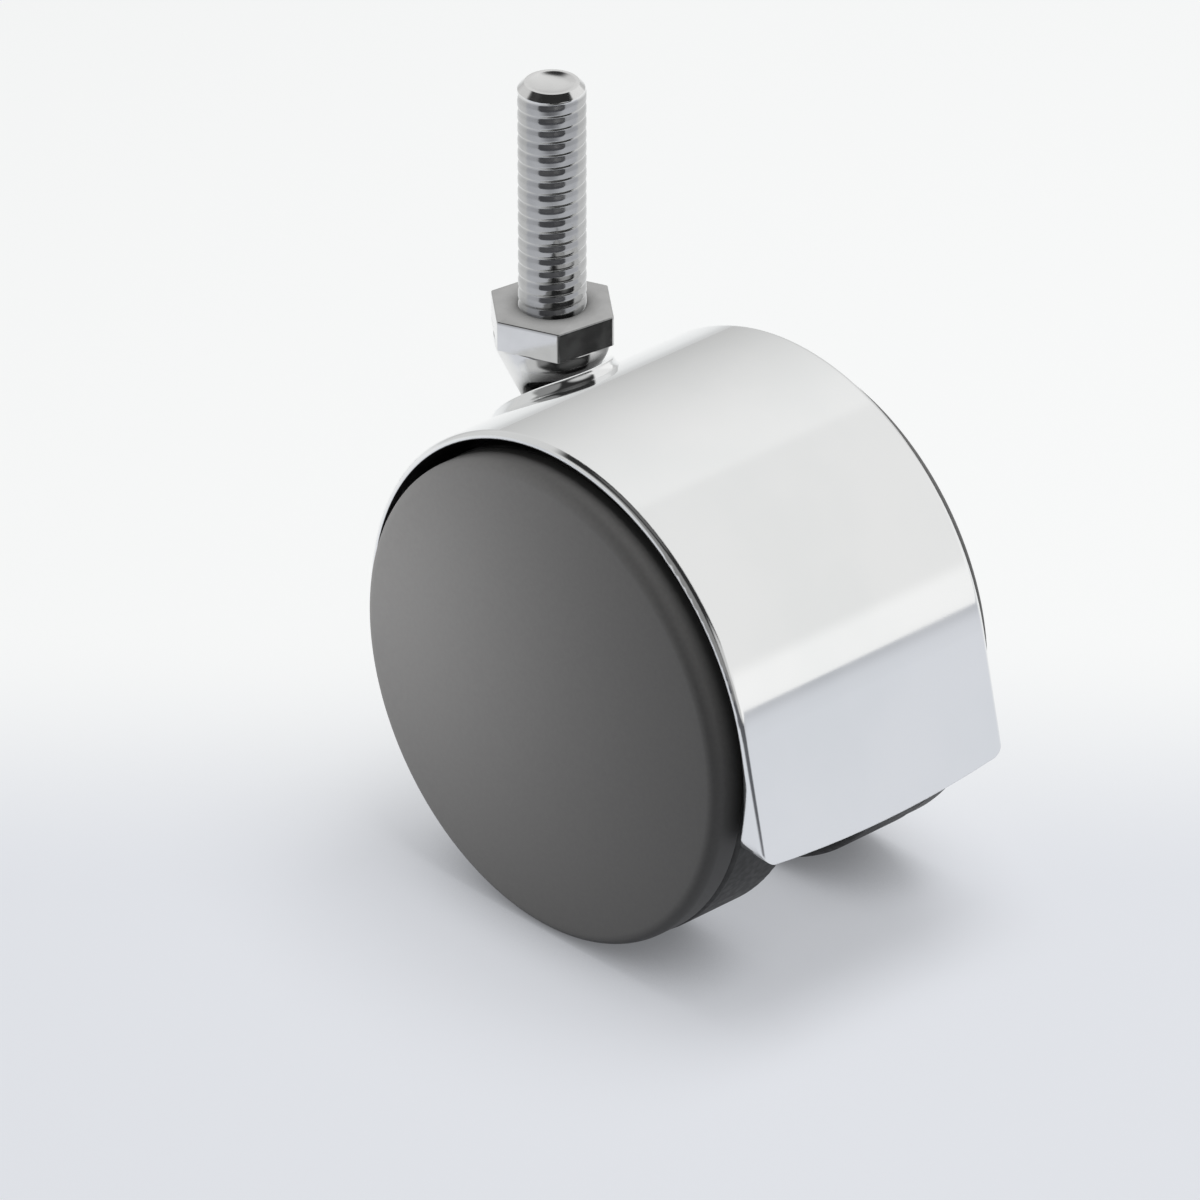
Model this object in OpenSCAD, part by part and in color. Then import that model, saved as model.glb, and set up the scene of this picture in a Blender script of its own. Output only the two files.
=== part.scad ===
// Twin wheel castor: a polished cast hood carries two wheels on one axle and
// swivels about a threaded stem. The origin is on the stem's axis, at the top
// face of its hexagon, which is the face that clamps against the furniture.
// +Z points up the thread, +X points from the stem towards the axle.

/* [Stem] */
// Major diameter of the thread
thread_d = 10; // [6:0.5:12]
// Length of the thread above the hexagon
thread_len = 36; // [15:1:60]
// Chamfer at the thread's tip
thread_chamfer = 1; // [0.5:0.1:1.5]
// Hexagon across flats
hex_af = 17; // [15:0.1:19]
// Height of the hexagon
hex_h = 4.7; // [3:0.1:8]
// Turn of the hexagon's first corner from straight ahead
hex_turn = -37.5; // [-60:0.5:60]
// Gap between the hexagon and the collar's highest point
hex_gap = 2.8; // [2:0.1:4]
// Gap between the cone and the mouth round it
cone_gap = 0.3; // [0.3:0.1:1]
// Height of the cone below the hexagon
cone_h = 10; // [8:0.5:12]
// Width of the cone's rim beyond the hexagon's flats
cone_w = 0.1; // [0.1:0.1:0.9]
// Height of the cone's upright rim
cone_rim = 1.5; // [0.3:0.1:2]
// Width of the shoulder where the neck meets the spindle
shoulder_w = 0.6; // [0.4:0.1:1]

/* [Swivel bearing] */
// Diameter of the swivel spindle
spindle_d = 8; // [6:0.1:9]
// Length of the spindle below its shoulder
spindle_len = 27.5; // [26:0.5:32]
// Wall of the two swivel bushes
bush_wall = 1.6; // [1:0.1:2]
// Length of each swivel bush
bush_len = 7.5; // [6:0.5:9]
// Width of the upper bush's flange
flange_w = 0.8; // [0.5:0.1:1.2]
// Thickness of the upper bush's flange
flange_t = 1.5; // [1:0.1:2]
// Thickness of the thrust washer
washer_t = 1; // [0.6:0.1:1.5]
// Thickness of the retaining ring
ring_t = 1.2; // [0.8:0.1:1.6]
// Depth of the retaining ring's two grooves
ring_bite = 0.8; // [0.5:0.1:1]

/* [Hood] */
// Distance from the stem's axis to the axle
trail = 26.6; // [24:0.1:28]
// Gap between the tread and the hood
hood_gap = 1.8; // [1:0.1:4]
// Thickness of the hood's wall
hood_wall = 1.1; // [1:0.1:3]
// Radius on the hood's side edges
hood_edge = 0.9; // [0.3:0.1:3]
// How far the wheel covers stand out of the hood on each side
cover_proud = 4.5; // [2:0.1:6]
// Angle above the axle at which the back turns straight
tail_deg = 13; // [4:1:16]
// Depth of the hood's back edge below the axle, at its middle
tail_drop = 11; // [6:0.2:14]
// Rise of the back edge from its middle to the hood's sides
tail_bow = 1.5; // [0.5:0.1:3]
// Radius of the hood's lower back corners
tail_corner = 3; // [1:0.5:6]
// Angle of the hood's front edge about the axle
front_deg = 177; // [165:1:182]

/* [Collar, socket and web] */
// Gap between the thrust washer and the mouth round it
mouth_gap = 1.1; // [0.6:0.1:1.6]
// Width of the raised collar round the mouth
collar_w = 1.3; // [1:0.1:3]
// Height of the collar above the hood
collar_h = 1.1; // [0.6:0.1:2.5]
// Depth of the bush's flange below the collar's lowest lip
seat_sink = 0.85; // [0.5:0.05:2]
// Wall of the socket round the mouth
socket_wall = 1.2; // [0.8:0.1:2]
// Thickness of the socket's floor
socket_floor = 2.5; // [1.5:0.5:4]
// Thickness of the web between the wheels
web_t = 5; // [3:0.5:8]
// Wall of the axle boss
boss_wall = 3.5; // [2.5:0.1:5]

/* [Axle] */
// Diameter of the axle
axle_d = 8; // [6:0.1:10]
// Length of the axle beyond each lock ring
axle_tip = 1.5; // [1:0.1:2.5]
// Thickness of the spacer washers
spacer_t = 1.2; // [0.8:0.1:2]
// Thickness of the axle's lock rings
lock_t = 1; // [0.6:0.1:1.2]
// Depth of the axle's grooves
lock_bite = 0.8; // [0.5:0.1:1]

/* [Wheels] */
// Diameter of the tread
wheel_d = 75; // [72:0.5:80]
// Width of the tread
tread_w = 13.2; // [11:0.2:16]
// Radius on the tread's two edges
tread_edge = 1.2; // [0.4:0.1:2]
// Gap between the wheels' inner sides and the socket
socket_gap = 0.55; // [0.4:0.05:1]
// Thickness of the rim under the tread
rim_t = 3.5; // [2.5:0.1:5]
// Depth of the wheel's disc below the tread's inner side
disc_sink = 3; // [2:0.1:3.6]
// Thickness of the wheel's disc
disc_t = 2.4; // [1.6:0.1:3.2]
// Wall of the bearing sleeve in the hub
sleeve_wall = 2; // [1.2:0.1:2.5]
// Wall of the wheel's hub
hub_wall = 2.5; // [2:0.1:4]
// Number of ribs across the disc
rib_count = 8; // [4:1:12]
// Thickness of each rib
rib_t = 1.6; // [1:0.1:2.4]
// Depth of the ribs' edges below the tread's inner side
rib_sink = 1.5; // [0.5:0.1:2]

/* [Wheel covers] */
// Height of the cover beyond the tread
cover_h = 6.05; // [5:0.05:8]
// Radius on the cover's outer edge
cover_edge = 2; // [1:0.1:3]
// Step from the tread in to the cover's edge
cover_step = 0.15; // [0.1:0.05:1]
// Wall of the cover
cover_wall = 1.8; // [1.2:0.1:2.2]
// Height of the dome on the cover's face
dome_h = 1; // [0.3:0.1:1.5]
// Depth of the cover's skirt inside the rim
skirt_h = 2.2; // [1.5:0.1:2.6]

/* [Clearances] */
// Running clearance on radius
run_gap = 0.04; // [0.02:0.01:0.08]
// Clearance on radius of pieces pressed together
press_gap = 0.01; // [0.005:0.005:0.02]
// Gap between faces that turn on each other
face_gap = 0.15; // [0.1:0.05:0.3]
// Room for a ring in its groove
groove_gap = 0.2; // [0.1:0.05:0.3]

/* [Hidden] */
$fn = 96;

chrome = [0.86, 0.87, 0.88];
steel = [0.66, 0.67, 0.69];
spring_steel = [0.36, 0.36, 0.38];
acetal = [0.91, 0.90, 0.86];
wheel_black = [0.07, 0.07, 0.07];
cover_grey = [0.40, 0.40, 0.39];

// Swivel bearing across the stem's axis
bush_r = spindle_d / 2 + bush_wall;
washer_r = bush_r + flange_w;
mouth_r = washer_r + mouth_gap;
collar_r = mouth_r + collar_w;
socket_r = mouth_r + socket_wall;
neck_r = spindle_d / 2 + shoulder_w;

// Wheel and hood about the axle
wheel_r = wheel_d / 2;
rim_in = wheel_r - rim_t;
hood_in = wheel_r + hood_gap;
hood_r = hood_in + hood_wall;
side_edge = min(hood_edge, hood_wall - groove_gap);
collar_top = hood_r + collar_h;
tail_len = (hood_r * sin(tail_deg) + tail_drop) / cos(tail_deg);
tail_depth = hood_r - hood_in * cos(tail_deg) + tail_drop;

// Heights along the stem, from the hexagon's top face at zero
axle_drop = hex_h + hex_gap + collar_rise(collar_r);
low_lip_z = collar_rise(-mouth_r) - axle_drop;
cone_z = -hex_h - cone_h;
cone_r = hex_af / 2 + cone_w;
seat_z = low_lip_z - seat_sink - flange_t;
washer_z = seat_z + flange_t;
shoulder_z = washer_z + washer_t + face_gap;
foot_z = shoulder_z - spindle_len;
foot_chamfer = 1;
floor_z = foot_z - foot_chamfer;
upper_bush_z = seat_z - bush_len;
lower_bush_top = floor_z + bush_len + foot_chamfer;
ring_z = (upper_bush_z + lower_bush_top) / 2;
ring_slot = ring_t + 2 * groove_gap;

// Places along the axle, measured outwards from the castor's middle
wheel_in = socket_r + socket_gap;
spacer_y = wheel_in - face_gap - spacer_t;
tread_out = wheel_in + tread_w;
disc_in = wheel_in + disc_sink;
rib_out = tread_out - skirt_h - groove_gap;
hub_out = rib_out + disc_t / 2;
lock_y = hub_out + face_gap;
lock_slot = lock_t + press_gap;
axle_end = lock_y + lock_slot + axle_tip;
cover_out = tread_out + cover_h;
hood_half = cover_out - cover_proud;

// Radii on the axle
boss_r = axle_d / 2 + boss_wall;
sleeve_r = axle_d / 2 + sleeve_wall;
hub_r = sleeve_r + hub_wall;
ring_split_deg = 40;
through = 4 * wheel_d;

// Height of the collar's crown above the axle, at a distance ahead of the stem
function collar_rise(ahead) = sqrt(pow(collar_top, 2) - pow(trail - ahead, 2));

// Places a shape drawn about the axle, with its profile in the XZ plane
module about_axle() {
    translate([trail, 0, -axle_drop])
        rotate([90, 0, 0])
            children();
}

// Places a shape drawn with its axis along +Z on the axle, on one side
module on_axle(side) {
    translate([trail, 0, -axle_drop])
        mirror([0, side < 0 ? 1 : 0, 0])
            rotate([-90, 0, 0])
                children();
}

// Ring profile, from one radius to another and one height to another
module ring_profile(inner, outer, from, to) {
    translate([inner, from])
        square([outer - inner, to - from]);
}

// Profile of a wall whose two outer corners are round
module round_edged_profile(inner, outer, half_w, edge) {
    ring_profile(inner, outer, -(half_w - edge), half_w - edge);
    ring_profile(inner, outer - edge, -half_w, half_w);
    for (side = [-1, 1])
        translate([outer - edge, side * (half_w - edge)])
            circle(edge);
}

// Split ring round the Z axis, open on the -X side
module split_ring(inner, outer, from, to) {
    rotate([0, 0, 180 + ring_split_deg / 2])
        rotate_extrude(angle = 360 - ring_split_deg)
            ring_profile(inner, outer, from, to);
}

// Everything nearer the axle than the hood's skin raised by a height
module inside_hood(rise) {
    about_axle()
        cylinder(r = hood_r + rise, h = through, center = true);
}

// Skin of the hood: an arch about the axle with a straight back, hollowed in one
module hood_skin() {
    difference() {
        about_axle()
            rotate([0, 0, tail_deg]) {
                rotate_extrude(angle = front_deg - tail_deg)
                    round_edged_profile(hood_in - hood_wall, hood_r, hood_half, side_edge);
                rotate([90, 0, 0])
                    linear_extrude(tail_len)
                        round_edged_profile(hood_r - tail_depth, hood_r, hood_half, side_edge);
            }
        inside_hood(-hood_wall);
        below_tail();
    }
}

// Space below the hood's back edge, which is bowed and has round corners
module below_tail() {
    bow_r = (pow(hood_half, 2) + pow(tail_bow, 2)) / (2 * tail_bow);
    corner_y = hood_half - tail_corner;
    corner_z = tail_corner + pow(corner_y, 2) / (2 * bow_r) - groove_gap / 4;
    translate([trail, 0, -axle_drop - tail_drop])
        rotate([90, 0, 90]) {
            linear_extrude(through)
                difference() {
                    translate([-wheel_d, -wheel_d])
                        square([2 * wheel_d, wheel_d + tail_bow + tail_corner]);
                    translate([0, bow_r])
                        circle(bow_r);
                }
            for (side = [0, 1])
                mirror([side, 0, 0])
                    linear_extrude(through)
                        difference() {
                            translate([corner_y, -tail_corner])
                                square([wheel_d, tail_corner + corner_z]);
                            translate([corner_y, corner_z])
                                circle(tail_corner);
                        }
        }
}

// Web in the hood's middle plane, from the front edge to the back edge
module web() {
    front_z = hood_in * sin(front_deg);
    web_low = -boss_r - web_t / 4;
    about_axle()
        linear_extrude(web_t, center = true)
            intersection() {
                circle(hood_r - hood_wall / 2);
                polygon([[-hood_r, front_z],
                         [-2 * boss_r, web_low],
                         [2 * boss_r, web_low],
                         [hood_r, web_t - tail_drop],
                         [hood_r, hood_r],
                         [-hood_r, hood_r]]);
            }
}

// Collar round the stem's hole, raised on the hood's own curve
module collar() {
    difference() {
        intersection() {
            translate([0, 0, -axle_drop])
                cylinder(r = collar_r, h = axle_drop);
            inside_hood(collar_h);
        }
        inside_hood(-hood_wall);
    }
}

// Upright tube that holds the spindle, from its floor up into the hood's wall
module socket() {
    intersection() {
        translate([0, 0, floor_z - socket_floor])
            cylinder(r = socket_r, h = through);
        inside_hood(-hood_wall / 2);
    }
}

// One casting: hood, web, spindle socket and axle boss
module hood_body() {
    color(chrome)
        difference() {
            union() {
                hood_skin();
                web();
                collar();
                socket();
                about_axle()
                    cylinder(r = boss_r, h = 2 * spacer_y, center = true);
            }
            translate([0, 0, seat_z])
                cylinder(r = mouth_r, h = through);
            translate([0, 0, cone_z])
                cylinder(r1 = neck_r + cone_gap, r2 = cone_r + cone_gap, h = cone_h - cone_rim);
            translate([0, 0, floor_z])
                cylinder(r = bush_r, h = through);
            translate([0, 0, ring_z - ring_slot / 2])
                cylinder(r = bush_r + ring_bite, h = ring_slot);
            about_axle()
                cylinder(r = axle_d / 2 + press_gap, h = through, center = true);
        }
}

// One turned piece: thread, hexagon, cone, neck and grooved spindle
module threaded_stem() {
    groove_r = spindle_d / 2 - ring_bite;
    groove_low = ring_z - ring_slot / 2;
    groove_high = ring_z + ring_slot / 2;
    rim_top = -hex_h + groove_gap / 2;
    color(steel) {
        rotate_extrude()
            polygon([[0, thread_len],
                     [thread_d / 2 - thread_chamfer, thread_len],
                     [thread_d / 2, thread_len - thread_chamfer],
                     [thread_d / 2, rim_top],
                     [cone_r, rim_top],
                     [cone_r, -hex_h - cone_rim],
                     [neck_r, cone_z],
                     [neck_r, shoulder_z],
                     [spindle_d / 2, shoulder_z],
                     [spindle_d / 2, groove_high],
                     [groove_r, groove_high],
                     [groove_r, groove_low],
                     [spindle_d / 2, groove_low],
                     [spindle_d / 2, foot_z + foot_chamfer],
                     [spindle_d / 2 - foot_chamfer, foot_z],
                     [0, foot_z]]);
        hexagon();
    }
}

// Hexagon that clamps against the furniture
module hexagon() {
    translate([0, 0, -hex_h])
        rotate([0, 0, hex_turn])
            cylinder(r = hex_af / 2 / cos(30), h = hex_h, $fn = 6);
}

// Split spring ring that holds the spindle in its socket
module retaining_ring() {
    color(spring_steel)
        split_ring(spindle_d / 2 - ring_bite + press_gap, bush_r + ring_bite - groove_gap,
                   ring_z - ring_t / 2, ring_z + ring_t / 2);
}

// Washer between the neck's shoulder and the upper bush
module thrust_washer() {
    color(steel)
        rotate_extrude()
            ring_profile(spindle_d / 2 + face_gap, washer_r, washer_z, washer_z + washer_t);
}

// Flanged bush at the socket's mouth
module upper_bush() {
    color(acetal)
        rotate_extrude() {
            ring_profile(spindle_d / 2 + run_gap, washer_r, seat_z, washer_z);
            ring_profile(spindle_d / 2 + run_gap, bush_r - press_gap, upper_bush_z, washer_z);
        }
}

// Plain bush round the spindle's foot, standing on the socket's floor
module lower_bush() {
    color(acetal)
        rotate_extrude()
            ring_profile(spindle_d / 2 + run_gap, bush_r - press_gap, floor_z, lower_bush_top);
}

// Plain axle, grooved at each end for its lock ring
module axle() {
    axle_r = axle_d / 2;
    tip_chamfer = axle_tip / 2;
    color(steel)
        about_axle()
            rotate_extrude()
                difference() {
                    polygon([[0, -axle_end],
                             [axle_r - tip_chamfer, -axle_end],
                             [axle_r, tip_chamfer - axle_end],
                             [axle_r, axle_end - tip_chamfer],
                             [axle_r - tip_chamfer, axle_end],
                             [0, axle_end]]);
                    ring_profile(axle_r - lock_bite, axle_d, lock_y, lock_y + lock_slot);
                    ring_profile(axle_r - lock_bite, axle_d, -lock_y - lock_slot, -lock_y);
                }
}

// Washer between the axle boss and a wheel's hub
module spacer(side) {
    color(steel)
        on_axle(side)
            rotate_extrude()
                ring_profile(axle_d / 2 + run_gap, hub_r - face_gap, spacer_y, spacer_y + spacer_t);
}

// Split ring that keeps a wheel on the axle
module lock_ring(side) {
    color(spring_steel)
        on_axle(side)
            split_ring(axle_d / 2 - lock_bite + press_gap, hub_r - hub_wall / 2,
                       lock_y, lock_y + lock_t);
}

// Moulded wheel: tread, rim, disc and hub, with ribs that cross the disc
module wheel(side) {
    rim_hold = rim_in + rim_t / 4;
    rib_in = wheel_in + rib_sink;
    color(wheel_black)
        on_axle(side)
            difference() {
                union() {
                    rotate_extrude() {
                        translate([0, (wheel_in + tread_out) / 2])
                            round_edged_profile(rim_in, wheel_r, tread_w / 2, tread_edge);
                        ring_profile(0, hub_r, wheel_in, hub_out);
                        ring_profile(0, rim_hold, disc_in, disc_in + disc_t);
                    }
                    for (i = [0 : rib_count - 1])
                        rotate([0, 0, i * 360 / rib_count])
                            translate([sleeve_r, -rib_t / 2, rib_in])
                                cube([rim_hold - sleeve_r, rib_t, rib_out - rib_in]);
                }
                cylinder(r = sleeve_r, h = through);
            }
}

// Bearing sleeve pressed into a wheel's hub
module sleeve(side) {
    color(acetal)
        on_axle(side)
            rotate_extrude()
                ring_profile(axle_d / 2 + run_gap, sleeve_r - press_gap, wheel_in, hub_out);
}

// Domed cover that closes a wheel's outer face, with a skirt inside the rim
module cover(side) {
    cover_r = wheel_r - cover_step;
    inner_edge = max(cover_edge - cover_wall, cover_wall / 4);
    skirt_r = rim_in - press_gap;
    skirt_root = cover_out - dome_h - cover_wall / 2;
    color(cover_grey)
        on_axle(side)
            rotate_extrude() {
                difference() {
                    domed_profile(cover_r, cover_edge, cover_out);
                    domed_profile(cover_r - cover_wall, inner_edge, cover_out - cover_wall);
                }
                ring_profile(skirt_r - cover_wall, skirt_r, tread_out - skirt_h, skirt_root);
            }
}

// Half section of a domed disc on the tread's side, its edge rounded into the dome
module domed_profile(outer, edge, top) {
    dome_r = (outer * outer + dome_h * dome_h) / (2 * dome_h);
    bend = top - dome_r + sqrt(pow(dome_r - edge, 2) - pow(outer - edge, 2));
    dome_end = (outer - edge) * dome_r / (dome_r - edge);
    ring_profile(0, outer, tread_out, bend);
    intersection() {
        translate([0, top - dome_r])
            circle(dome_r, $fn = 720);
        ring_profile(0, dome_end, tread_out, top);
    }
    translate([outer - edge, bend])
        circle(edge);
}

threaded_stem();
retaining_ring();
hood_body();
thrust_washer();
upper_bush();
lower_bush();
axle();
spacer(-1);  // near_spacer
spacer(1);  // far_spacer
lock_ring(-1);  // near_lock_ring
lock_ring(1);  // far_lock_ring
wheel(-1);  // near_wheel
wheel(1);  // far_wheel
sleeve(-1);  // near_sleeve
sleeve(1);  // far_sleeve
cover(-1);  // near_cover
cover(1);  // far_cover
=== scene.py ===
"""Looks of the twin wheel castor: materials, turned stem, collar, covers, light and camera."""
import math

import bpy
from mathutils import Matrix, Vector


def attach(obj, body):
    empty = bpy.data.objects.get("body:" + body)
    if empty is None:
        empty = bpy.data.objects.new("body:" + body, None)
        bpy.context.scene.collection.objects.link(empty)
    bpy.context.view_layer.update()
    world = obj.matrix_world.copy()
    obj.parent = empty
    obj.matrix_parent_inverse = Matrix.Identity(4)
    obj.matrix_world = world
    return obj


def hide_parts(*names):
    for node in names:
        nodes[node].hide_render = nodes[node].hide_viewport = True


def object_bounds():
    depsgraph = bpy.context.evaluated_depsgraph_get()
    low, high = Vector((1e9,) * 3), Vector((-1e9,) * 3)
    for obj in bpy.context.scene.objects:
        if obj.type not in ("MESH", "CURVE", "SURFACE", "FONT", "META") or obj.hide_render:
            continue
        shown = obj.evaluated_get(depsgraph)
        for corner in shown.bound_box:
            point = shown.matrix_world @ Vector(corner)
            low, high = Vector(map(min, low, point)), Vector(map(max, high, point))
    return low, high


MM = 0.001

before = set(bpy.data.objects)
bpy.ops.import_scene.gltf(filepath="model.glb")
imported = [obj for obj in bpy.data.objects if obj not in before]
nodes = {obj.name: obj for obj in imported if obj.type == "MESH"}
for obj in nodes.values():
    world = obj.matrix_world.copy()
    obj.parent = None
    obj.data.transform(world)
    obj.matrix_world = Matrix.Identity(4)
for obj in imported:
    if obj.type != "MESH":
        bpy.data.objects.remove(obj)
first_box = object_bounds()

# Sizes taken over from the part, in millimetres
THREAD_R, THREAD_LEN, TIP_CHAMFER = 5.0, 36.0, 1.0
HEX_AF, HEX_H, HEX_TURN = 17.0, 4.7, math.radians(-37.5)
NECK_R, CONE_R, CONE_Z, CONE_RIM, CONE_GAP = 4.6, 8.6, -14.7, 1.5, 0.3
SPINDLE_R, SHOULDER_Z, FOOT_Z = 4.0, -21.036, -48.536
TRAIL, AXLE_Z, HOOD_IN, HOOD_R = 26.6, -44.9888, 39.3, 40.4
MOUTH_R, COLLAR_R, COLLAR_H = 7.5, 8.8, 1.1
COVER_R, COVER_EDGE, COVER_WALL, COVER_OUT, DOME_H = 37.35, 2.0, 1.8, 28.5, 1.0
TREAD_OUT, SKIRT_R, SKIRT_H = 22.45, 33.99, 2.2
FLOOR_Z = first_box[0].z

# Sizes of the scene's own pieces, in millimetres: SKIN keeps them inside the part's surface,
# SUNK hides the thread's first ring in the hexagon, POLE is the small flat at a dome's middle
SKIN, SUNK, POLE = 0.02, 0.3, 0.4
HEX_EDGE, HEX_CORNER = 0.15, 0.35
RIM_ROUND, RIM_DROP = 1.3, 0.61
TIP_SLOPE = 0.95
TIP_DISH = [(3.5, 0.02), (3.3, 0.06), (2.9, 0.16), (2.3, 0.24), (1.4, 0.3), (0.6, 0.32)]

# Look of the thread: pitch and depth in millimetres, the rest as shares of the pitch
PITCH, DEPTH, CREST, LOWER_FLANK, ROUNDING = 2.07, 0.19, 0.44, 0.15, 0.03

# Creases sharper than these angles, in degrees, stay sharp
TURNED_CREASE, FLARE_CREASE = 32, 50


class Tree:
    """Builds one node tree."""

    def __init__(self, owner):
        owner.use_nodes = True
        self.tree = owner.node_tree
        self.tree.nodes.clear()

    def node(self, kind, sockets=None, **settings):
        made = self.tree.nodes.new(kind)
        for name, value in settings.items():
            setattr(made, name, value)
        for name, value in (sockets or {}).items():
            self.plug(made.inputs[name], value)
        return made

    def plug(self, socket, value):
        if isinstance(value, bpy.types.NodeSocket):
            self.tree.links.new(value, socket)
        else:
            socket.default_value = value

    def math(self, operation, first, second=0.0, clamp=False):
        made = self.node("ShaderNodeMath", operation=operation, use_clamp=clamp)
        self.plug(made.inputs[0], first)
        self.plug(made.inputs[1], second)
        return made.outputs[0]

    def step(self, value, low, high, to_low=0.0, to_high=1.0, smooth=True):
        made = self.node("ShaderNodeMapRange", {
            "Value": value, "From Min": low, "From Max": high,
            "To Min": to_low, "To Max": to_high})
        made.interpolation_type = "SMOOTHSTEP" if smooth else "LINEAR"
        return made.outputs[0]

    def blend(self, factor, first, second):
        made = self.node("ShaderNodeMix", data_type="RGBA")
        self.plug(made.inputs["Factor"], factor)
        self.plug(made.inputs[6], first)
        self.plug(made.inputs[7], second)
        return made.outputs[2]

    def split(self, vector):
        return self.node("ShaderNodeSeparateXYZ", {0: vector}).outputs

    def noise(self, vector, scale, detail=4.0):
        return self.node("ShaderNodeTexNoise", {
            "Vector": vector, "Scale": scale, "Detail": detail}).outputs["Fac"]

    def finish(self, shader):
        self.node("ShaderNodeOutputMaterial", {"Surface": shader})


def shade(value, warmth=0.0):
    return (value * (1 + warmth), value, value * (1 - warmth), 1.0)


def surface(name, shades, rough, metallic, grain, bump=0.0, gloss=0.5):
    """Material whose shade and roughness drift with fine noise."""
    material = bpy.data.materials.new(name)
    t = Tree(material)
    place = t.node("ShaderNodeTexCoord").outputs["Object"]
    noise = t.noise(place, grain)
    mask = t.step(noise, 0.3, 0.7)
    shader = t.node("ShaderNodeBsdfPrincipled", {
        "Base Color": t.blend(mask, shades[0], shades[1]),
        "Roughness": t.step(noise, 0.3, 0.7, rough[0], rough[1]),
        "Metallic": metallic, "Specular IOR Level": gloss})
    if bump:
        raised = t.node("ShaderNodeBump", {"Height": noise, "Strength": bump, "Distance": 0.0001})
        t.plug(shader.inputs["Normal"], raised.outputs["Normal"])
    t.finish(shader.outputs[0])
    return material


def hood_chrome():
    """Polished outside the arch; dull and near black inside it, partly an unplated inside and partly
    painted shade; with softened edges.
    """
    material = bpy.data.materials.new("chrome")
    t = Tree(material)
    place = t.node("ShaderNodeTexCoord").outputs["Object"]
    part = t.split(place)
    across = t.math("SUBTRACT", part["X"], TRAIL * MM)
    rise = t.math("SUBTRACT", part["Z"], AXLE_Z * MM)
    reach = t.math("SQRT", t.math("ADD", t.math("MULTIPLY", across, across),
                                  t.math("MULTIPLY", rise, rise)))
    outside = t.step(reach, (HOOD_IN + 0.02) * MM, (HOOD_IN + 0.12) * MM)
    drift = t.noise(place, 45.0)
    polish = t.blend(t.step(drift, 0.35, 0.65),
                     (0.85, 0.86, 0.865, 1.0), (0.88, 0.885, 0.89, 1.0))
    rough = t.step(drift, 0.3, 0.7, 0.06, 0.09)
    soft = t.node("ShaderNodeBevel", {"Radius": 0.0004}, samples=6)
    bright = t.node("ShaderNodeBsdfPrincipled", {
        "Base Color": polish, "Roughness": rough, "Metallic": 1.0,
        "Normal": soft.outputs["Normal"]})
    # Painted shade: the inside of the arch is near black, partly an unplated surface, partly shade
    # painted into its colour
    inside_noise = t.noise(place, 700.0)
    dull_and_shaded = t.node("ShaderNodeBsdfPrincipled", {
        "Base Color": t.blend(inside_noise, shade(0.008), shade(0.016)),
        "Roughness": t.step(inside_noise, 0.3, 0.7, 0.55, 0.75), "Specular IOR Level": 0.2})
    both = t.node("ShaderNodeMixShader", {0: outside, 1: dull_and_shaded.outputs[0], 2: bright.outputs[0]})
    t.finish(both.outputs[0])
    return material


def plated_steel():
    """Plating with painted light: lighter on the hexagon's sides, cone and tip; darker on the thread
    and the hexagon's top, partly duller rolled plating and partly painted shade; painted shade in
    corners.
    """
    material = bpy.data.materials.new("plated_steel")
    t = Tree(material)
    place = t.node("ShaderNodeTexCoord").outputs["Object"]
    height = t.split(place)["Z"]
    drift = t.noise(place, 300.0)
    mask = t.step(drift, 0.3, 0.7)
    # Painted light and shade: a lighter tone on the hexagon's sides, cone and tip, a darker one on
    # the thread and the hexagon's top; the darker tone is partly the rolled thread's duller plating,
    # partly painted shade
    shaded_thread_and_top = t.math("MULTIPLY", t.step(height, -0.6 * MM, -0.1 * MM),
                    t.step(height, (THREAD_LEN - 1.6) * MM, (THREAD_LEN - 1.1) * MM, 1.0, 0.0))
    bright = t.blend(mask, shade(0.76), shade(0.82))
    dull_and_shaded = t.blend(mask, shade(0.46), shade(0.52))
    bare = t.blend(shaded_thread_and_top, bright, dull_and_shaded)
    # Painted shade: the plating turns near black in corners, such as where the thread meets the
    # hexagon's top
    corner = t.node("ShaderNodeAmbientOcclusion", {"Distance": 0.005}, samples=8).outputs["AO"]
    shader = t.node("ShaderNodeBsdfPrincipled", {
        "Base Color": t.blend(t.step(corner, 0.45, 0.9), shade(0.06), bare),
        "Roughness": t.step(drift, 0.3, 0.7, 0.1, 0.17), "Metallic": 1.0})
    t.finish(shader.outputs[0])
    return material


def dress(names, material):
    for name in names:
        mesh = nodes[name].data
        mesh.materials.clear()
        mesh.materials.append(material)


plated = plated_steel()
steel = surface("steel", [shade(0.52), shade(0.6)], (0.25, 0.4), 1.0, 500.0)
spring = surface("spring_steel", [shade(0.2), shade(0.3)], (0.3, 0.45), 1.0, 500.0)
acetal = surface("acetal", [shade(0.78, 0.03), shade(0.85, 0.03)], (0.4, 0.5), 0.0, 300.0)
nylon = surface("black_nylon", [shade(0.008), shade(0.014)], (0.5, 0.65), 0.0, 900.0, 0.1)
grey = surface("grey_plastic", [shade(0.124, 0.01), shade(0.134, 0.01)], (0.5, 0.58), 0.0, 1500.0,
               bump=0.04, gloss=0.25)

chrome = hood_chrome()
dress(["hood_body"], chrome)
dress(["threaded_stem"], plated)
dress(["axle", "thrust_washer", "near_spacer", "far_spacer"], steel)
dress(["retaining_ring", "near_lock_ring", "far_lock_ring"], spring)
dress(["upper_bush", "lower_bush", "near_sleeve", "far_sleeve"], acetal)
dress(["near_wheel", "far_wheel"], nylon)
dress(["near_cover", "far_cover"], grey)


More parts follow.
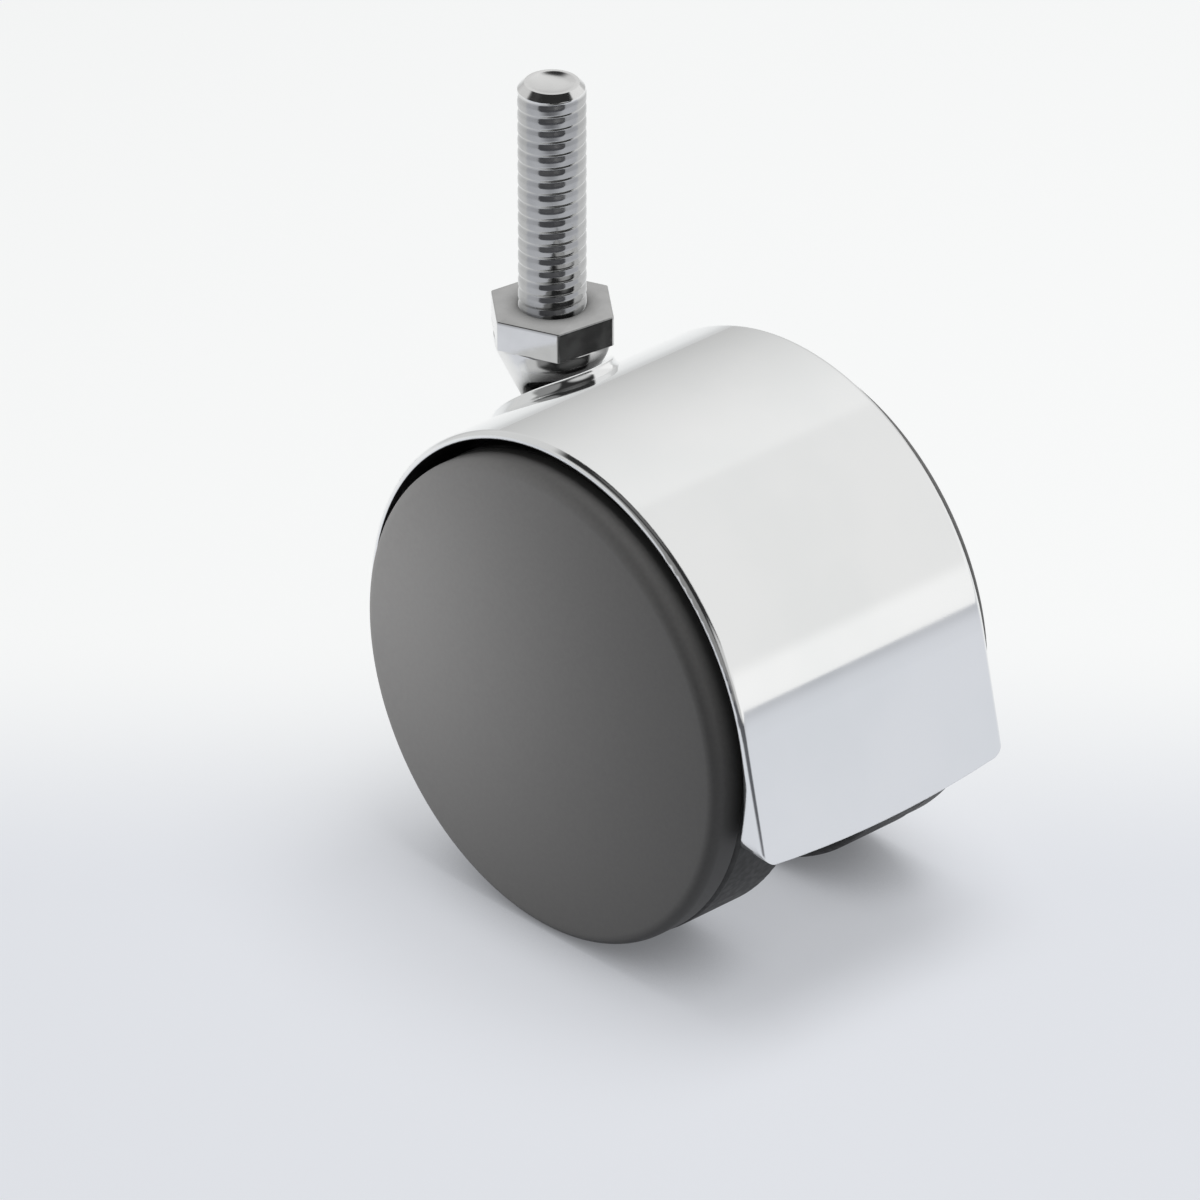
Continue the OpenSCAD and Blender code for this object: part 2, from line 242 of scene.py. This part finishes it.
class Shell:
    """Collects rings of points into one mesh, in millimetres."""

    def __init__(self):
        self.points = []
        self.faces = []

    def ring(self, points):
        start = len(self.points)
        self.points.extend(points)
        return list(range(start, len(self.points)))

    def bridge(self, low, high):
        count = len(low)
        for i in range(count):
            j = (i + 1) % count
            self.faces.append((low[i], low[j], high[j], high[i]))

    def stack(self, rings):
        made = [self.ring(points) for points in rings]
        for low, high in zip(made, made[1:]):
            self.bridge(low, high)
        return made

    def cap(self, ring, upward):
        self.faces.append(tuple(ring if upward else reversed(ring)))

    def build(self, name, material, crease):
        mesh = bpy.data.meshes.new(name)
        mesh.from_pydata([Vector(point) * MM for point in self.points], [], self.faces)
        mesh.polygons.foreach_set("use_smooth", [True] * len(mesh.polygons))
        mesh.set_sharp_from_angle(angle=math.radians(crease))
        mesh.materials.append(material)
        made = bpy.data.objects.new(name, mesh)
        bpy.context.collection.objects.link(made)
        return made


def circle(radius, height, steps):
    turns = [2 * math.pi * i / steps for i in range(steps)]
    return [(radius * math.cos(turn), radius * math.sin(turn), height) for turn in turns]


def clamp(value, low, high):
    return max(low, min(high, value))


def thread_groove(phase):
    """Depth of the groove, from 0 on the crest to 1 at the root."""
    phase %= 1.0
    upper = (phase - CREST) / (1.0 - LOWER_FLANK - CREST)
    lower = (1.0 - phase) / LOWER_FLANK
    return clamp(min(upper, lower), 0.0, 1.0)


def thread_radius(height, turn):
    """Radius of a rolled right-hand thread, with its corners rounded."""
    phase = height / PITCH - turn / (2 * math.pi)
    groove = sum(thread_groove(phase + ROUNDING * k) for k in range(-2, 3)) / 5
    return THREAD_R - SKIN - DEPTH * groove


def stem_thread(shell, steps=64, rows=540):
    """Thread with a chamfered and dished tip."""
    rings = []
    for row in range(rows + 1):
        height = (THREAD_LEN - SKIN) * row / rows - SUNK * (row == 0)
        tip = THREAD_R - TIP_CHAMFER + (THREAD_LEN - height) * TIP_SLOPE
        ring = []
        for i in range(steps):
            turn = 2 * math.pi * i / steps
            radius = min(thread_radius(height, turn), tip)
            ring.append((radius * math.cos(turn), radius * math.sin(turn), height))
        rings.append(ring)
    for radius, dish in TIP_DISH:
        rings.append(circle(radius, THREAD_LEN - dish, steps))
    made = shell.stack(rings)
    shell.cap(made[-1], True)


def hex_radius(turn, ease):
    """Distance to the side of a hexagon whose corners are eased by a radius."""
    inner = HEX_AF / 2
    off = (turn - HEX_TURN) % (math.pi / 3) - math.pi / 6
    reach = inner / math.cos(off)
    corner = inner / math.cos(math.pi / 6)
    middle = corner - ease / math.cos(math.pi / 6)
    away = math.pi / 6 - abs(off)
    if abs(off) > math.atan2(middle * math.sin(math.pi / 6), inner):
        side = middle * math.sin(away)
        reach = middle * math.cos(away) + math.sqrt(max(ease * ease - side * side, 0.0))
    return reach


def stem_hexagon(shell, steps=360):
    """Hexagon with eased edges and corners; the profile is height and inset."""
    angles = [math.pi / 2 * k / 6 for k in range(7)]
    profile = [(-HEX_H + HEX_EDGE * (1 - math.cos(a)), HEX_EDGE * (1 - math.sin(a))) for a in angles]
    profile += [(-HEX_EDGE * (1 - math.sin(a)), HEX_EDGE * (1 - math.cos(a))) for a in angles]
    rings = []
    for height, inset in profile:
        ring = []
        for i in range(steps):
            turn = 2 * math.pi * i / steps
            radius = hex_radius(turn, HEX_CORNER) - inset
            ring.append((radius * math.cos(turn), radius * math.sin(turn), height))
        rings.append(ring)
    made = shell.stack(rings)
    shell.cap(made[0], False)
    shell.cap(made[-1], True)


def stem_shank(shell, steps=96):
    """Spindle, neck and rounded cone; the profile is height and radius."""
    rim_low, rim_top = -HEX_H - CONE_RIM, -HEX_H + 0.1
    spindle, chamfer, ease = SPINDLE_R - SKIN, 1.0, 0.15
    profile = [(FOOT_Z, SPINDLE_R - chamfer), (FOOT_Z + chamfer, spindle), (SHOULDER_Z, spindle),
               (SHOULDER_Z, NECK_R - ease), (SHOULDER_Z + ease, NECK_R), (CONE_Z - 0.6, NECK_R),
               (CONE_Z - 0.2, NECK_R + 0.03), (CONE_Z + 0.2, NECK_R + 0.12),
               (CONE_Z + 0.6, NECK_R + 0.28)]
    for part in range(9):
        along = part / 8
        height = rim_low + RIM_ROUND * (along * 2 - 1)
        profile.append((height, CONE_R - RIM_DROP * (1 - along) ** 2))
    profile += [(rim_top - 0.08, CONE_R), (rim_top - 0.02, CONE_R - 0.03),
                (rim_top, CONE_R - 0.08), (rim_top, THREAD_R)]
    made = shell.stack([circle(radius, height, steps) for height, radius in profile])
    shell.cap(made[0], False)
    shell.cap(made[-1], True)


def stem():
    """Turned stem in one piece; mirror rays pass it by, so the hood doesn't show it."""
    shell = Shell()
    stem_thread(shell)
    stem_hexagon(shell)
    stem_shank(shell)
    made = shell.build("stem_turned", plated, TURNED_CREASE)
    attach(made, "stem")
    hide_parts("threaded_stem")
    made.visible_glossy = False


def hood_height(ahead, rise):
    """Height of the hood's curve, raised by an amount, at a distance ahead of the stem."""
    return AXLE_Z + math.sqrt((HOOD_R + rise) ** 2 - (TRAIL - ahead) ** 2)


def collar_section(turn):
    """Section of the collar's flare as radius and rise above the hood's curve."""
    wall, foot, low_slope, high_slope, lip = COLLAR_R + 0.2, 0.72, 1.0, 2.2, 0.3
    outer, inner, sunk, play = wall + foot + 0.2, COLLAR_R - 0.4, -0.5, 0.05
    heel = foot * (low_slope + high_slope) / 2
    lean = math.atan(high_slope)
    top = heel + lip * (1 - math.cos(lean))
    level = hood_height(MOUTH_R * math.cos(turn), top)
    cone = NECK_R + (CONE_R - NECK_R) * (level - CONE_Z) / (-HEX_H - CONE_RIM - CONE_Z)
    mouth = max(MOUTH_R + play, cone + CONE_GAP + play)
    section = [(outer, -0.04)]
    for step in range(17):
        along = step / 16
        rise = foot * along * (low_slope + (high_slope - low_slope) * along / 2)
        section.append((wall + foot * (1 - along), rise))
    for step in range(1, 9):
        angle = lean * (1 - step / 8)
        radius = max(wall - lip * (math.sin(lean) - math.sin(angle)), mouth)
        section.append((radius, top - lip * (1 - math.cos(angle))))
    section += [(mouth, top), (mouth, COLLAR_H - 0.2), (inner, 0.2), (inner, sunk), (outer, sunk)]
    return section


def collar_flare(material, steps=240):
    """Smooth flare that runs from the hood up to the collar's round lip."""
    shell = Shell()
    rings = []
    for i in range(steps):
        turn = 2 * math.pi * i / steps
        points = []
        for radius, rise in collar_section(turn):
            ahead, across = radius * math.cos(turn), radius * math.sin(turn)
            points.append((ahead, across, hood_height(ahead, rise)))
        rings.append(points)
    made = [shell.ring(points) for points in rings]
    for i in range(steps):
        shell.bridge(made[i], made[(i + 1) % steps])
    flare = shell.build("collar_flare", material, FLARE_CREASE)
    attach(flare, "hood")


def cover_section():
    """Half section of a wheel cover as radius and distance out, from its inside to its dome."""
    dome_r = (COVER_R ** 2 + DOME_H ** 2) / (2 * DOME_H)
    bend_r = COVER_R - COVER_EDGE
    bend = COVER_OUT - dome_r + math.sqrt((dome_r - COVER_EDGE) ** 2 - bend_r ** 2)
    under = COVER_OUT - DOME_H - COVER_WALL
    skirt_in, skirt_end = SKIRT_R - COVER_WALL, TREAD_OUT - SKIRT_H
    wall_in, fall = COVER_R - COVER_WALL, 0.2
    section = [(POLE, under + DOME_H), (skirt_in, under + fall), (skirt_in, skirt_end),
               (SKIRT_R, skirt_end), (SKIRT_R, under), (wall_in, under - fall),
               (wall_in, TREAD_OUT), (COVER_R, TREAD_OUT)]
    steep = math.acos(bend_r / (dome_r - COVER_EDGE))
    for step in range(17):
        angle = steep * step / 16
        section.append((bend_r + COVER_EDGE * math.cos(angle),
                        bend + COVER_EDGE * math.sin(angle)))
    dome_end = bend_r * dome_r / (dome_r - COVER_EDGE)
    for step in range(1, 25):
        radius = dome_end + (POLE - dome_end) * step / 24
        section.append((radius, COVER_OUT - dome_r + math.sqrt(dome_r ** 2 - radius ** 2)))
    return section


def cover_dome(side, body, node, steps=180):
    """Smooth wheel cover, turned about the axle; side is -1 for the near wheel."""
    shell = Shell()
    rings = []
    for radius, out in cover_section():
        rings.append([(TRAIL + x, side * z, AXLE_Z - side * y)
                      for x, y, z in circle(radius, out, steps)])
    made = shell.stack(rings)
    shell.cap(made[0], False)
    shell.cap(made[-1], True)
    dome = shell.build(node + "_dome", grey, TURNED_CREASE)
    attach(dome, body)
    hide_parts(node)
    return dome


def floor():
    """Pale floor that turns white behind the castor; mirrors see a painted dark patch on it far ahead
    on the right.
    """
    near, far, mirrored = (0.80, 0.82, 0.865, 1.0), (0.99, 1.0, 1.0, 1.0), (0.13, 0.133, 0.145, 1.0)
    unseen, glow_share = (0.4, 0.41, 0.43, 1.0), 0.45
    away_x, away_y = -0.733, 0.68
    bpy.ops.mesh.primitive_plane_add(size=12.0, location=(0.0, 0.0, FLOOR_Z))
    plane = bpy.context.object
    plane.name = "floor"
    material = bpy.data.materials.new("floor")
    t = Tree(material)
    part = t.split(t.node("ShaderNodeTexCoord").outputs["Object"])
    away = t.math("ADD", t.math("MULTIPLY", part["X"], away_x), t.math("MULTIPLY", part["Y"], away_y))
    colour = t.blend(t.step(away, -0.03, 0.05), near, far)
    path = t.node("ShaderNodeLightPath").outputs
    # Painted reflection: a dark patch far ahead on the right that only mirror rays see, so that the
    # metal shows dark reflections there
    front = t.math("SUBTRACT", 0.0, part["Y"])
    painted_reflection_patch = t.math("MULTIPLY", t.step(t.math("MINIMUM", part["X"], front), 0.02, 0.05),
                    t.step(t.math("ADD", part["X"], front), 0.26, 0.34))
    colour = t.blend(t.math("MULTIPLY", painted_reflection_patch, path["Is Glossy Ray"]), colour, mirrored)
    seen = t.math("ADD", t.math("ADD", path["Is Camera Ray"], path["Is Glossy Ray"]),
                  path["Is Transmission Ray"], clamp=True)
    # Painted shadow: the floor's glow dims close under the castor, deepening its contact shadow
    corner = t.node("ShaderNodeAmbientOcclusion", {"Distance": 0.014}, samples=8).outputs["AO"]
    matt = t.node("ShaderNodeBsdfDiffuse", {"Color": t.blend(seen, unseen, colour)})
    glow = t.node("ShaderNodeEmission", {
        "Color": colour, "Strength": t.step(corner, 0.0, 0.9, 0.35, 1.25)})
    both = t.node("ShaderNodeMixShader", {
        0: t.math("MULTIPLY", seen, glow_share), 1: matt.outputs[0], 2: glow.outputs[0]})
    t.finish(both.outputs[0])
    plane.data.materials.append(material)


def sky():
    """Mirrors see a white backdrop and a dark room with pale walls; other rays see plain light."""
    dark_room, plain, backdrop = 0.03, 0.2, 0.95
    world = bpy.data.worlds.new("studio")
    bpy.context.scene.world = world
    t = Tree(world)
    part = t.split(t.node("ShaderNodeTexCoord").outputs["Generated"])
    low = t.step(part["Z"], 0.3, 0.45, 1.0, 0.0)
    lit = t.step(t.math("ADD", part["Y"], t.math("MULTIPLY", low, 0.5)), 0.47, 0.55)
    left = t.step(part["Z"], 0.0, 0.8, 0.58, 0.94, smooth=False)
    right = t.step(part["Z"], 0.17, 0.27, 1.0, 0.88)
    side = t.step(part["X"], -0.12, -0.04)
    back = t.math("ADD", t.math("MULTIPLY", left, t.math("SUBTRACT", 1.0, side)),
                  t.math("MULTIPLY", right, side))
    wall = t.math("MULTIPLY", t.step(part["Z"], 0.42, 0.58, 1.0, 0.0),
                  t.step(part["X"], -0.35, -0.1, 0.7, 0.0))
    wall = t.math("MAXIMUM", wall, t.step(part["X"], -0.68, -0.56, 0.7, 0.0))
    wall = t.math("MAXIMUM", wall, t.step(part["X"], 0.72, 0.85, 0.0, 0.6))
    wall = t.math("MAXIMUM", wall, t.step(part["Y"], -0.69, -0.58, 0.26, 0.0))
    wall = t.math("MAXIMUM", wall, t.step(part["Z"], 0.88, 0.97, 0.0, 0.14))
    room = t.math("MAXIMUM", dark_room, wall)
    shown = t.math("ADD", room, t.math("MULTIPLY", lit, t.math("SUBTRACT", back, room)))
    path = t.node("ShaderNodeLightPath").outputs
    mirrored = t.math("ADD", path["Is Glossy Ray"], path["Is Transmission Ray"], clamp=True)
    level = t.math("ADD", plain, t.math("MULTIPLY", mirrored, t.math("SUBTRACT", shown, plain)))
    level = t.math("ADD", level, t.math("MULTIPLY", path["Is Camera Ray"], backdrop - plain))
    glow = t.node("ShaderNodeBackground", {"Color": (1.0, 1.0, 0.99, 1.0), "Strength": level})
    t.node("ShaderNodeOutputWorld", {"Surface": glow.outputs[0]})


def lamp(name, place, aim, size, watts, receivers=None):
    """Square soft lamp that mirrors don't show; it lights all, or the receivers alone."""
    data = bpy.data.lights.new(name, "AREA")
    data.shape = "SQUARE"
    data.size = size
    data.energy = watts
    made = bpy.data.objects.new(name, data)
    bpy.context.collection.objects.link(made)
    made.location = place
    made.rotation_euler = (Vector(aim) - Vector(place)).to_track_quat("-Z", "Y").to_euler()
    made.visible_camera = False
    made.visible_glossy = False
    if receivers:
        made.light_linking.receiver_collection = receivers


def camera():
    """Camera fitted to the photograph: its turn and rise, and its reach in metres."""
    turn, rise, reach = math.radians(47.154), math.radians(29.739), 1.553
    aim = Vector((0.02067, -0.00977, -0.03697))
    back = Vector((math.sin(turn) * math.cos(rise), -math.cos(turn) * math.cos(rise),
                   math.sin(rise)))
    data = bpy.data.cameras.new("camera")
    data.lens = 321.9
    data.sensor_width = 36.0
    made = bpy.data.objects.new("camera", data)
    bpy.context.collection.objects.link(made)
    made.location = aim + back * reach
    made.rotation_euler = (-back).to_track_quat("-Z", "Y").to_euler()
    bpy.context.scene.camera = made


stem()
collar_flare(chrome)
floor()
sky()
lit = bpy.data.collections.new("castor")
for name in nodes:
    lit.objects.link(nodes[name])
lit.objects.link(cover_dome(-1, "near_wheel", "near_cover"))
lit.objects.link(cover_dome(1, "far_wheel", "far_cover"))
lamp("key", (-0.025, -0.092, -0.033), (-0.01, -0.03, -0.035), 0.03, 0.076, lit)
lamp("top", (0.06, 0.14, 0.88), (0.02, 0.0, -0.05), 0.6, 5.2)
lamp("fill", (0.03, 0.38, 0.05), (0.027, 0.028, -0.045), 0.25, 0.5, lit)
camera()
bpy.context.scene.view_settings.view_transform = "Standard"
